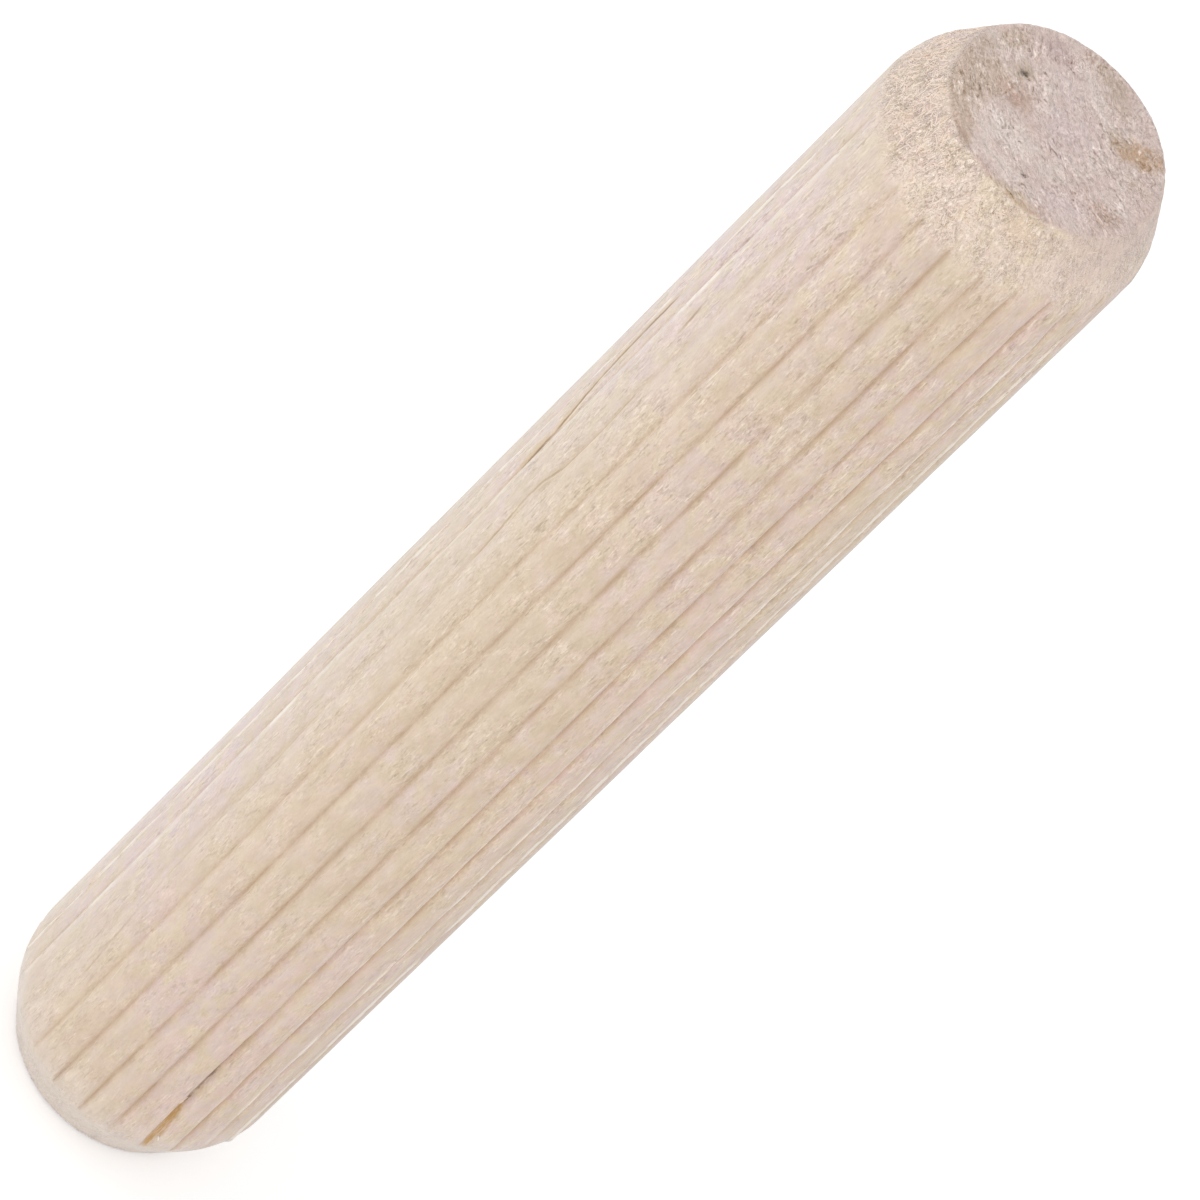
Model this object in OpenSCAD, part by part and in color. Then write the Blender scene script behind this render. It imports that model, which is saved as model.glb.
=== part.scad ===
// Fluted dowel pin: one length of hardwood rod with a blended chamfer on each end
// and a ring of straight flutes that let glue and air out of the hole.
// Millimetres. +Z runs along the pin; the origin is the middle of the foot face.

/* [Pin] */
// Diameter over the lands between the flutes
pin_d = 10; // [8:0.5:16]
// Length from end face to end face
pin_l = 60; // [20:1:120]

/* [Ends] */
// Length of each chamfer, measured along the pin
chamfer_l = 2.35; // [1.5:0.05:4]
// Slope of each chamfer, away from the pin's axis in degrees
chamfer_angle = 26.5; // [15:0.5:45]
// Radius of the blend where a chamfer meets the lands
shoulder_r = 3; // [0.5:0.25:5]
// Radius of the blend where a chamfer meets its end face
rim_r = 0.3; // [0.1:0.05:1]

/* [Flutes] */
// Number of flutes round the pin
flute_count = 24; // [8:1:26]
// Depth of a flute below the lands
flute_depth = 0.24; // [0.14:0.02:0.5]
// Angle between the two flanks of a flute, in degrees
flute_angle = 80; // [50:2:110]
// Radius at the root of a flute
flute_root_r = 0.05; // [0.02:0.01:0.1]
// Turn of the first flute from the X axis, in degrees
flute_turn = 4.4; // [0:0.2:15]

/* [Hidden] */

$fn = 96;
pin_r = pin_d / 2;

// How far a flute's cutter stands out past the lands, and past each end face
cut_over = flute_depth;

// Points of the foot end's outline, as [radius, height]: the slope's two corners before they are blended
rim_corner = [pin_r - chamfer_l * tan(chamfer_angle), 0];
shoulder_corner = [pin_r, chamfer_l];
up_slope = [sin(chamfer_angle), cos(chamfer_angle)];

// How far each blend reaches from its corner, along both of the corner's sides
rim_reach = rim_r * tan((90 - chamfer_angle) / 2);
shoulder_reach = shoulder_r * tan(chamfer_angle / 2);

// What the shaping of the foot end takes off the rod. Each blend is a circle that is tangent
// to both sides of its corner: the outline cuts the corner straight, and the circle fills it out.
module foot_waste() {
    rim_inner = rim_corner - [rim_reach, 0];
    shoulder_top = shoulder_corner + [0, shoulder_reach];
    difference() {
        polygon([
            rim_inner,
            rim_corner + rim_reach * up_slope,
            shoulder_corner - shoulder_reach * up_slope,
            shoulder_top,
            shoulder_top + [cut_over, 0],
            [pin_r + cut_over, -cut_over],
            [rim_inner.x, -cut_over]
        ]);
        translate(rim_inner + [0, rim_r]) circle(r = rim_r);
        translate(shoulder_top - [shoulder_r, 0]) circle(r = shoulder_r);
    }
}

// The rod with both of its ends turned to shape, before it is fluted
module blank() {
    rotate_extrude() difference() {
        square([pin_r, pin_l]);
        foot_waste();
        translate([0, pin_l]) mirror([0, 1]) foot_waste();
    }
}

// Section of one flute across the pin: a V that opens outwards along +X, with a rounded root
module flute_section() {
    flank = flute_angle / 2;
    centre_x = pin_r - flute_depth + flute_root_r;
    lip_x = pin_r + cut_over;
    // Where a flank leaves the root's circle, and where it leaves the cutter
    tangent = [centre_x - flute_root_r * sin(flank), flute_root_r * cos(flank)];
    lip = [lip_x, tangent.y + (lip_x - tangent.x) * tan(flank)];
    translate([centre_x, 0]) circle(r = flute_root_r, $fn = 48);
    polygon([tangent, lip, [lip.x, -lip.y], [tangent.x, -tangent.y]]);
}

// A ring of straight cutters that pass right through the pin, so each flute runs out on both chamfers
module flutes() {
    for (i = [0 : flute_count - 1])
        rotate(flute_turn + i * 360 / flute_count)
            translate([0, 0, -cut_over])
                linear_extrude(pin_l + 2 * cut_over) flute_section();
}

module fluted_dowel() {
    color([0.87, 0.78, 0.68]) difference() {
        blank();
        flutes();
    }
}

fluted_dowel();
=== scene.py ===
"""A fluted dowel pin of bare hardwood: its wood, its wear and a plain studio to show it in."""

import math
import random

import bmesh
import bpy
from bpy.props import FloatProperty, FloatVectorProperty, IntProperty, PointerProperty
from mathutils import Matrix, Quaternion, Vector, noise
from mathutils.bvhtree import BVHTree


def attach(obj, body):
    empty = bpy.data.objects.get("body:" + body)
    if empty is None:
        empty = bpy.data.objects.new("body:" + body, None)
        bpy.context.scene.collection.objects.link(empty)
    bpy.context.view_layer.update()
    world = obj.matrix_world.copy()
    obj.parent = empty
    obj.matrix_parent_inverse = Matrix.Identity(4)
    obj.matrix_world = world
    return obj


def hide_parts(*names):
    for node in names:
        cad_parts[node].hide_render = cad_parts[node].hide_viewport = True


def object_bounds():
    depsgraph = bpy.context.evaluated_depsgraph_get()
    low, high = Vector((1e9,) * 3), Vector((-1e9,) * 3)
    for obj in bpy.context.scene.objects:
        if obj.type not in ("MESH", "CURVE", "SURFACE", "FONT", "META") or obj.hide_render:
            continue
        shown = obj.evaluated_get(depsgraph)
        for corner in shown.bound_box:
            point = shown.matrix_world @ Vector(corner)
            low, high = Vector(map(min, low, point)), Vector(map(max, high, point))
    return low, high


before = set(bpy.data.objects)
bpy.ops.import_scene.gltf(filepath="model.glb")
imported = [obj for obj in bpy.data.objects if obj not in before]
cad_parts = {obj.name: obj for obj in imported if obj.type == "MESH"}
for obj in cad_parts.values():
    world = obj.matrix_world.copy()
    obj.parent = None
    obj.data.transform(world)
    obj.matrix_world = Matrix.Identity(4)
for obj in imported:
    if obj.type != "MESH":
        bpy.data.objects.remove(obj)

bl_info = {
    "name": "Fluted Dowel Pin",
    "version": (1, 0, 0),
    "blender": (4, 5, 0),
    "location": "View3D > Sidebar > Dowel",
    "description": "Builds a fluted hardwood dowel pin and a plain studio round it",
    "category": "Object",
}

MM = 0.001
LAND_RADIUS = 5.0  # millimetres
NODE = "fluted_dowel"
BODY = "root"

CAD_LOW, CAD_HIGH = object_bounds()
PIN_LENGTH = CAD_HIGH.z - CAD_LOW.z


# -------------------- sizes and colours


def a_length(name, description, millimetres):
    return FloatProperty(
        name=name, description=description, default=millimetres * MM, unit="LENGTH", precision=5
    )


def an_angle(name, description, degrees):
    return FloatProperty(name=name, description=description, default=math.radians(degrees), subtype="ANGLE")


def a_place(name, description, millimetres):
    default = [value * MM for value in millimetres]
    return FloatVectorProperty(name=name, description=description, default=default, subtype="TRANSLATION")


def a_colour(name, description, default):
    return FloatVectorProperty(
        name=name, description=description, default=default, subtype="COLOR", min=0, max=1
    )


def a_power(name, description, default):
    return FloatProperty(name=name, description=description, default=default, unit="POWER")


class DowelSizes(bpy.types.PropertyGroup):
    radius: a_length("Radius", "Radius over the lands between the flutes", LAND_RADIUS)
    length: a_length("Length", "Length from end face to end face", 60.0)
    chamfer: a_length("Chamfer", "Length of each chamfer along the pin", 2.35)
    chamfer_slope: an_angle("Chamfer slope", "Slope of each chamfer, away from the axis", 26.5)
    shoulder: a_length("Shoulder", "Radius of the blend between a chamfer and the lands", 3.0)
    rim: a_length("Rim", "Radius of the blend between a chamfer and its end face", 0.3)
    flutes: IntProperty(name="Flutes", description="Number of flutes round the pin", default=24, min=3)
    flute_turn: an_angle("Flute turn", "Turn of the first flute from the X axis", 4.4)
    flute_depth: a_length("Flute depth", "Depth of a flute below the lands", 0.22)
    flute_reach: a_length("Flute reach", "Distance from a flute's root to the crown of a land", 0.6)
    columns: IntProperty(name="Columns", description="Columns of faces across one flute", default=16, min=4)
    shank_row: a_length("Shank row", "Height of one row of faces on the shank", 0.4)
    foot_row: a_length("Foot row", "Height of one row of faces on the foot end", 0.16)
    top_row: a_length("Top row", "Height of one row of faces on the torn top end", 0.09)


class DowelColours(bpy.types.PropertyGroup):
    cream: a_colour("Cream", "The wood's own tone", (0.762, 0.613, 0.470))
    rose: a_colour("Rose", "Warm blotches in the wood", (0.780, 0.598, 0.520))
    lilac: a_colour("Lilac", "Cool blotches in the wood", (0.756, 0.598, 0.550))
    straw: a_colour("Straw", "Yellow blotches in the wood", (0.754, 0.608, 0.445))
    fibre: a_colour("Fibre", "Bright fibres on the sides", (0.95, 0.80, 0.65))
    pore: a_colour("Pore", "Dark pores on the sides", (0.38, 0.28, 0.19))
    # painted highlight: the crushed lips are partly paler fibres and partly painted pale where they catch
    # the light
    lip: a_colour("Lip", "Crushed lips of the flutes", (0.98, 0.90, 0.80))
    # partly stain and partly painted shade in the flutes' roots, reaching further on one side of each root
    groove_stain_and_shade: a_colour("Groove", "Brown along the flutes' roots", (0.56, 0.39, 0.25))
    crack: a_colour("Crack", "Lines of the cracks", (0.36, 0.24, 0.155))
    stain: a_colour("Stain", "Yellow beside the cracks", (0.70, 0.54, 0.34))
    # painted light and shade: the torn wood's lit tone and, next, its shaded copy, which the code mixes in
    # random blotches
    torn: a_colour("Torn wood", "Torn wood where it stands up", (0.90, 0.735, 0.625))
    torn_painted_shade: a_colour("Torn hollows", "Torn wood where it is hollow", (0.85, 0.655, 0.575))
    end: a_colour("End grain", "The end faces' own tone", (0.790, 0.642, 0.578))
    end_warm: a_colour("Warm end grain", "Warm blotches on the end faces", (0.780, 0.596, 0.530))


class DowelStage(bpy.types.PropertyGroup):
    camera_place: a_place("Camera place", "Where the camera stands", (-0.261, -285.811, 313.785))
    camera_aim: a_place("Camera aim", "The point that the camera looks at", (0.516, 0, 31.705))
    camera_roll: an_angle("Camera roll", "Turn of the camera about its line of sight", 45.618)
    camera_lens: FloatProperty(name="Lens", description="Focal length", default=374.08, unit="CAMERA")
    room_light: FloatProperty(name="Room light", description="Strength of the even light", default=0.90)
    side_power: a_power("Side power", "Power of the side lamp", 0.60)
    front_power: a_power("Front power", "Power of the front lamp", 0.37)
    floor: a_colour("Floor", "Paint of the floor", (0.82, 0.82, 0.82))


# -------------------- small sums


def smooth(value, low, high):
    """0 below low, 1 above high and an even curve between them; low may be the larger."""
    t = min(1, max(0, (value - low) / (high - low)))
    return t * t * (3 - 2 * t)


def hump(value, middle, half, soft):
    """1 within half of the middle, dying out to 0 over soft."""
    return 1 - smooth(abs(value - middle), half, half + soft)


def turned(angle_a, angle_b):
    """The smallest turn from one angle to another."""
    return (angle_b - angle_a + math.pi) % (2 * math.pi) - math.pi


def along(path, height):
    """The angle of a path at a height, or None beyond its ends. A path is a list of (height, angle)."""
    for (z0, a0), (z1, a1) in zip(path, path[1:]):
        if z0 <= height <= z1:
            return a0 + (a1 - a0) * (height - z0) / (z1 - z0)
    return None


def grain(co, across, lengthwise, seed=0):
    """Even noise from -1 to 1 with a grain along Z; its two sizes are in metres."""
    return noise.noise(Vector((co.x / across + seed, co.y / across - seed, co.z / lengthwise + seed * 1.7)))


def waver(flute, spread, seed, height, size):
    """Even noise from -1 to 1 along one flute, in waves of that size; each flute has waves of its own."""
    return noise.noise(Vector((flute * spread, seed, height / size)))


# -------------------- the pin's outline

RIM_ROW = 0.6  # a row of faces on the rim, as a share of a row on the same end
WELD = 0.002 * MM  # points nearer than this are one point


def arc(centre, radius, start, end, row):
    """Points of an arc in the outline's plane, as (radius, height), about one row apart."""
    steps = max(2, round(radius * abs(end - start) / row))
    for i in range(steps + 1):
        a = start + (end - start) * i / steps
        yield Vector((centre[0] + radius * math.cos(a), centre[1] + radius * math.sin(a)))


def straight(start, end, row):
    """Points strictly between two ends of a straight stretch, about one row apart."""
    steps = max(1, round((end - start).length / row))
    for i in range(1, steps):
        yield start.lerp(end, i / steps)


def end_outline(sizes, row):
    """One end's outline, from the rim of its flat face to the lands, with the face at height 0."""
    slope = sizes.chamfer_slope
    rim_reach = sizes.rim * math.tan((math.pi / 2 - slope) / 2)
    shoulder_reach = sizes.shoulder * math.tan(slope / 2)
    face = sizes.radius - sizes.chamfer * math.tan(slope) - rim_reach
    rim = list(arc((face, sizes.rim), sizes.rim, -math.pi / 2, -slope, row * RIM_ROW))
    height = sizes.chamfer + shoulder_reach
    shoulder = list(arc((sizes.radius - sizes.shoulder, height), sizes.shoulder, -slope, 0, row))
    return [*rim, *straight(rim[-1], shoulder[0], row), *shoulder]


def pin_outline(sizes):
    """The whole pin's outline, from the rim of the foot face to the rim of the top face."""
    foot = end_outline(sizes, sizes.foot_row)
    top = [Vector((p.x, sizes.length - p.y)) for p in reversed(end_outline(sizes, sizes.top_row))]
    return [*foot, *straight(foot[-1], top[0], sizes.shank_row), *top]


def square_to_disc(point):
    """Moves a point of a square to a disc of the same size, with even steps round the disc's rim."""
    x, y = point.x, point.y
    if x == 0 and y == 0:
        return Vector((0, 0))
    if abs(x) > abs(y):
        r, a = x, math.pi / 4 * y / x
    else:
        r, a = y, math.pi / 2 - math.pi / 4 * x / y
    return Vector((r * math.cos(a), r * math.sin(a)))


def turned_blank(sizes):
    """A smooth rod with shaped ends: its outline spun round Z, and a woven disc of faces on each end."""
    outline = pin_outline(sizes)
    around = sizes.flutes * sizes.columns
    bm = bmesh.new()
    chain = [bm.verts.new((p.x, 0, p.y)) for p in outline]
    links = [bm.edges.new(pair) for pair in zip(chain, chain[1:])]
    bmesh.ops.spin(
        bm, geom=chain + links, cent=(0, 0, 0), axis=(0, 0, 1), dvec=(0, 0, 0),
        angle=2 * math.pi, steps=around, use_merge=True, use_normal_flip=False, use_duplicate=False,
    )
    for height in (0, sizes.length):
        disc = bmesh.ops.create_grid(
            bm, x_segments=around // 4, y_segments=around // 4, size=outline[0].x
        )["verts"]
        for v in disc:
            x, y = square_to_disc(v.co)
            v.co = (x, y, height)
    bmesh.ops.remove_doubles(bm, verts=bm.verts, dist=WELD)
    bmesh.ops.recalc_face_normals(bm, faces=bm.faces)
    return bm


# -------------------- where the wood is worn and torn

# Angles are turns from the X axis in degrees and sizes are in millimetres, but for those that say MM.
CRACKS = (
    # the heights and angles along each crack, its depth and half its width, its darkness
    (((24, -147), (28.2, -146.8), (31.9, -146.8), (34.2, -146.6), (36.1, -149.2), (38.2, -150.5),
      (41.3, -154.4), (46, -155.8)), 0.03, 0.045, 0.95),
    (((34.8, -147.4), (36.6, -147.2), (38.4, -146)), 0.0, 0.03, 0.6),
    (((37.4, -150.2), (38.8, -148.8), (40, -148.6)), 0.0, 0.025, 0.5),
    (((5.7, -121), (10, -125), (15, -128.1), (19.7, -129.5), (23.3, -131.3)), 0.01, 0.03, 0.2),
    (((31.5, -130.8), (34.2, -132.7), (36.8, -134.2), (38.5, -131.7), (43.4, -133)), 0.02, 0.03, 0.4),
    (((45.3, -138.4), (47.8, -140.5)), 0.03, 0.05, 0.6),
)
CRACK_FADE = 1.5  # a crack dies out over this length at each end
FLUTE_SHIFTS = {
    # the flute's number: how far it strays from its even place by the foot and by the top
    0: (-1.5, -4.0), 1: (-0.8, -2.0), 2: (0, -1.0), 12: (0.8, 0.4), 13: (2.2, 1.2), 14: (-2.1, -3.3),
    15: (-0.6, -1.0), 16: (0.3, 0.2), 17: (0.5, 0.3), 18: (0.5, 0.3), 19: (0.1, 0.3), 20: (0.2, -0.8),
    21: (-0.8, -1.2), 22: (-2.2, -3.4), 23: (-3.7, -6.8),
}
FLUTE_DEPTHS = {
    # the flute's number: its share of the usual depth, for those pressed less deep
    16: 0.98, 17: 0.9, 18: 0.86, 19: 0.87, 21: 0.93,
}
# the middle, the half width and the soft edge of the side that is torn worst and of the one rubbed flat
TORN_SIDE = (-145, 36, 38)
RUBBED_SIDE = (-142, 12, 35)
RUBBED_LOSS = 0.65  # the share of a flute's depth that is gone where it is rubbed flattest
RUBBED_CLEAN = 0.6  # the share of a groove's brown that is gone there
TORN_FLUTE_LOSS = 0.45  # the share of a flute's depth that is gone on the torn top end
# how far from each end face the torn wood begins, and how far from it the wood is torn all round
TORN_TOP = (3.1, 1.7)
TORN_FOOT = (1.9, 1.2)
# a groove's brown is partly stain and partly painted shade
GROOVE_REACH = (0.10, 0.16)  # how far a groove's brown goes to both sides of its root
BURRS = {
    # the flute's number: which lip stands up, how much of it, and half its width
    0: (1, 0.4, 0.05), 2: (-1, 0.7, 0.05), 3: (1, 0.5, 0.04), 5: (1, 0.8, 0.06), 6: (-1, 0.4, 0.04),
    8: (-1, 0.9, 0.06), 9: (1, 0.4, 0.04), 11: (-1, 0.6, 0.05), 12: (1, 0.5, 0.05), 13: (1, 1.5, 0.05),
    14: (1, 0.9, 0.04), 16: (1, 0.2, 0.03), 20: (-1, 0.2, 0.03), 21: (-1, 0.45, 0.04), 22: (-1, 1.5, 0.045),
    23: (-1, 2.2, 0.08),
}
BURR_RISE = 0.065  # the height of a burr of full strength
BURR_LIMIT = 1.5  # the highest burr, in burrs of full strength
SPLIT_HAIRS = (
    # height, angle, tilt and length of each hair beside the pocket
    (5.25, -55.9, -52, 0.55), (5.0, -55.6, -20, 0.35), (2.9, -52.0, 18, 0.4),
)
SPLIT_PATH = (
    # heights and angles along the split
    (1.9, -53.2), (2.6, -53.4), (3.8, -53.6), (4.4, -54.2), (4.9, -55.0), (5.3, -55.7), (7, -55.9),
    (9.8, -55.6),
)
SPLIT_HALF = 0.05
SPLIT_DEPTH = 0.05
POCKET = (3.7, 1.1, 0.7)  # the middle height of the split's wide part, half its length and its soft edge
POCKET_ASIDE = 0.08
POCKET_WIDER = 0.09
POCKET_DEEPER = 0.02
TOP_SHIFT = Vector((0.08 * MM, 0.035 * MM, 0))  # the top end stands this far off the axis
# the crescent that broke away lies outside a circle on the top face; it starts and ends over some degrees
CHIP_CENTRE = Vector((1.0 * MM, -1.6 * MM))
CHIP_RADIUS = 3.05 * MM
CHIP_START = (144, 166)
CHIP_END = (213, 221)
CHIP_DEPTH = 0.05
PITS = (
    # place on the top face, half width and depth
    (-2.05, 0.68, 0.07, 0.17), (-1.9, 0.66, 0.07, 0.16), (-1.74, 0.6, 0.06, 0.09), (0.25, -2.65, 0.07, 0.13),
    (1.7, -0.6, 0.06, 0.05),
)
# how far the bare wood waves and ripples, the torn wood stands up and the end faces are sunk
LAND_WAVE = 0.012
LAND_RIPPLE = 0.006
SHRED_HEIGHT = 0.032
END_SUNK = 0.018


def flute_drift(flute, height, sizes):
    """The angle by which a flute's root strays from its even place: shifted, slightly wound, wandering."""
    wound = math.radians(0.5 - smooth(height, 0, 40 * MM))
    wander = waver(flute, 7.3, 0, height, 9 * MM) * 0.025 * MM / sizes.radius
    wander += waver(flute, 4.1, 2, height, 1.7 * MM) * 0.015 * MM / sizes.radius
    foot, top = FLUTE_SHIFTS.get(flute, (0, 0))
    return wound + wander + math.radians(foot + (top - foot) * smooth(height, 5 * MM, 45 * MM))


def rubbed_share(flute, sizes):
    """How much of a flute was rubbed away: most on one side of the pin."""
    middle, half, soft = (math.radians(a) for a in RUBBED_SIDE)
    turn = sizes.flute_turn + flute * 2 * math.pi / sizes.flutes
    return hump(turned(middle, turn), 0, half, soft)


def flute_cut(flute, off, height, sizes):
    """Depth of a flute at a distance from its root: a crease between two rounded lands."""
    wear = waver(flute, 3.1, 5, height, 6 * MM)
    fray = waver(flute, 5.7, 9, height, 0.9 * MM)
    rubbed = RUBBED_LOSS * rubbed_share(flute, sizes)
    depth = sizes.flute_depth * (0.95 + 0.11 * wear + 0.05 * fray) * (1 - rubbed)
    depth *= 1 - TORN_FLUTE_LOSS * smooth(height, sizes.length - 4 * MM, sizes.length - 1.9 * MM)
    depth *= FLUTE_DEPTHS.get(flute, 1)
    crisp = 1 - smooth(height, 4 * MM, 14 * MM)  # the flutes are narrower by the foot
    reach = sizes.flute_reach * (1 + 0.05 * wear + 0.05 * fray) * (1 - 0.2 * crisp)
    power = (2.8 if off > 0 else 3.0) - 0.4 * crisp
    return depth * max(0, 1 - abs(off) / reach) ** power


def burr_height(flute, off, height, sizes):
    """Height of the crushed fibres standing along one lip of a flute."""
    side, strength, half = BURRS.get(flute, (1, 0, 0))
    wave = 0.7 + 0.6 * waver(flute, 2.9, 3, height, 2.2 * MM)
    foot = smooth(height, 1.8 * MM, 2.6 * MM)
    top = 1 - smooth(height, sizes.length - 5 * MM, sizes.length - 3.5 * MM)
    faint = 0.13 * hump(off, 0.40 * MM, 0.06 * MM, 0.14 * MM)
    crushed = strength * wave * hump(off * side, (0.15 + half) * MM, half * MM, 0.09 * MM)
    return foot * top * (faint + crushed)


def press_flutes(bm, sizes):
    """Draws the columns of faces in towards each flute's root and presses the flutes."""
    groove_stain_and_shade = bm.verts.layers.float.new("groove_stain_and_shade")
    burr = bm.verts.layers.float.new("burr")
    pitch = 2 * math.pi / sizes.flutes
    for v in bm.verts:
        r = math.hypot(v.co.x, v.co.y)
        if r < sizes.radius / 2:
            continue
        turn = math.atan2(v.co.y, v.co.x) - sizes.flute_turn
        nearest = round(turn / pitch)
        flute, off = nearest % sizes.flutes, turn / pitch - nearest
        weight = smooth(r, sizes.radius * 0.5, sizes.radius * 0.7)
        near = (math.copysign(0.5 * abs(2 * off) ** 1.5, off) * weight + off * (1 - weight)) * pitch
        beside = (nearest + (1 if off > 0 else -1)) % sizes.flutes
        drift = flute_drift(flute, v.co.z, sizes) * (1 - abs(off))
        drift += flute_drift(beside, v.co.z, sizes) * abs(off)
        a = sizes.flute_turn + nearest * pitch + near + drift * weight
        root = sizes.radius - flute_cut(flute, near * sizes.radius, v.co.z, sizes)
        if r > root:
            v[burr] = burr_height(flute, near * sizes.radius, v.co.z, sizes)
            r = root + min(v[burr], BURR_LIMIT) * BURR_RISE * MM
            reach = GROOVE_REACH[1 if near > 0 else 0] * MM
            clean = RUBBED_CLEAN * rubbed_share(flute, sizes)
            v[groove_stain_and_shade] = max(0, 1 - abs(near) * sizes.radius / reach) * (1 - clean)
        v.co = (r * math.cos(a), r * math.sin(a), v.co.z)


def crack_depth(co, sizes):
    """How far the wood has sunk beside the cracks along the grain."""
    r = math.hypot(co.x, co.y)
    if r < sizes.radius * 0.9:
        return 0
    sunk = 0
    for points, depth, _, _ in CRACKS:
        middle = along(points, co.z / MM)
        if middle is not None:
            off = turned(math.radians(middle), math.atan2(co.y, co.x)) * r
            from_foot = (co.z / MM - points[0][0]) / CRACK_FADE
            from_top = (points[-1][0] - co.z / MM) / CRACK_FADE
            dip = hump(off, 0, 0, 0.16 * MM)
            lip = hump(off, 0.2 * MM, 0, 0.14 * MM)
            sunk += min(1, from_foot, from_top) * depth * MM * (dip - 0.4 * lip)
    return sunk


def open_split(bm, sizes):
    """Tears the shallow pocket in one flute by the foot."""
    path = [(z * MM, math.radians(a)) for z, a in SPLIT_PATH]
    pocket_middle, pocket_half, pocket_soft = (size * MM for size in POCKET)
    for v in bm.verts:
        middle = along(path, v.co.z)
        r = math.hypot(v.co.x, v.co.y)
        if middle is None or r < sizes.radius * 0.7:
            continue
        turn = math.atan2(v.co.y, v.co.x)
        pocket = hump(v.co.z, pocket_middle, pocket_half, pocket_soft)
        off = turned(middle, turn) * r + POCKET_ASIDE * MM * pocket
        half = SPLIT_HALF * MM + POCKET_WIDER * MM * pocket
        inside = smooth(off, -half * 1.7, half * 0.4) * (1 - smooth(off, half * 0.7, half * 1.5))
        depth = (SPLIT_DEPTH + POCKET_DEEPER * pocket) * MM
        r -= depth * inside * smooth(v.co.z, 1.9 * MM, 2.6 * MM)
        v.co = (r * math.cos(turn), r * math.sin(turn), v.co.z)


def torn_share(co, sizes):
    """How badly the cutter tore the wood here: worst on one side of the top chamfer."""
    r = math.hypot(co.x, co.y)
    if r < sizes.radius * 0.5:
        return 0
    a = math.atan2(co.y, co.x)
    ragged = 0.5 * MM * noise.noise(Vector((a * 3, 0, 0))) + 0.35 * MM * noise.noise(Vector((a * 9, 4, 0)))
    top = smooth(co.z + ragged, sizes.length - TORN_TOP[0] * MM, sizes.length - TORN_TOP[1] * MM)
    foot = 1 - smooth(co.z - ragged, TORN_FOOT[1] * MM, TORN_FOOT[0] * MM)
    middle, half, soft = (math.radians(turn) for turn in TORN_SIDE)
    side = 0.65 + 0.35 * hump(turned(middle, a), 0, half, soft)
    return max(top * side, foot * 0.35)


def face_share(co, sizes):
    """1 on an end face, 0 beyond its rim."""
    low = min(co.z, sizes.length - co.z) + 0.05 * MM * noise.noise(co / (0.4 * MM))
    return 1 - smooth(low, 0.03 * MM, 0.11 * MM)


def chip_share(co, sizes):
    """1 on the crescent that broke away beside the top face."""
    if co.z < sizes.length - 0.3 * MM:
        return 0
    away = Vector((co.x, co.y)) - CHIP_CENTRE
    ragged = 0.08 * MM * noise.noise(Vector((co.x, co.y, 0)) / (0.35 * MM))
    turn = math.degrees(math.atan2(away.y, away.x)) % 360
    window = smooth(turn, *CHIP_START) * (1 - smooth(turn, *CHIP_END))
    rim = smooth(co.z, sizes.length - 0.3 * MM, sizes.length - 0.05 * MM)
    return smooth(away.length + ragged, CHIP_RADIUS - 0.05 * MM, CHIP_RADIUS + 0.2 * MM) * window * rim


def weather(bm, sizes):
    """Roughens, tears and chips the wood, and notes where for its finish."""
    torn = bm.verts.layers.float.new("torn")
    end = bm.verts.layers.float.new("end_grain")
    chip = bm.verts.layers.float.new("chip")
    bm.normal_update()
    moves = []
    for v in bm.verts:
        co = v.co
        v[end] = face_share(co, sizes)
        v[torn] = torn_share(co, sizes) * (1 - v[end])
        v[chip] = chip_share(co, sizes)
        out = LAND_WAVE * MM * grain(co, 1.6 * MM, 9 * MM)
        out += LAND_RIPPLE * MM * grain(co, 0.35 * MM, 2.5 * MM, 3)
        shreds = grain(co, 0.2 * MM, 0.6 * MM, 2) + 0.7 * grain(co, 0.11 * MM, 0.25 * MM, 5)
        out += v[torn] * SHRED_HEIGHT * MM * shreds * (0.9 + 0.5 * noise.noise(co / (0.8 * MM)))
        out -= v[end] * END_SUNK * MM * (1 + noise.noise(co / (0.22 * MM)))
        out -= crack_depth(co, sizes)
        out -= v[chip] * CHIP_DEPTH * MM * (0.8 + 0.4 * noise.noise(co / (0.3 * MM)))
        if co.z > sizes.length - 0.01 * MM:
            for x, y, half, depth in PITS:
                gap = math.hypot(co.x - x * MM, co.y - y * MM)
                out -= depth * MM * (1 - smooth(gap, half * 0.4 * MM, half * 1.3 * MM))
        moves.append(v.normal * out)
    for v, move in zip(bm.verts, moves):
        v.co += move + TOP_SHIFT * smooth(v.co.z, sizes.length - 3 * MM, sizes.length)


# -------------------- finishes


def put(tree, kind, inputs=None, **settings):
    """Adds a shader node; an input is a number, a colour or another node's output."""
    new = tree.nodes.new(kind)
    for key, value in settings.items():
        setattr(new, key, value)
    for key, value in (inputs or {}).items():
        if isinstance(value, bpy.types.NodeSocket):
            tree.links.new(value, new.inputs[key])
        else:
            new.inputs[key].default_value = value
    return new


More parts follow.
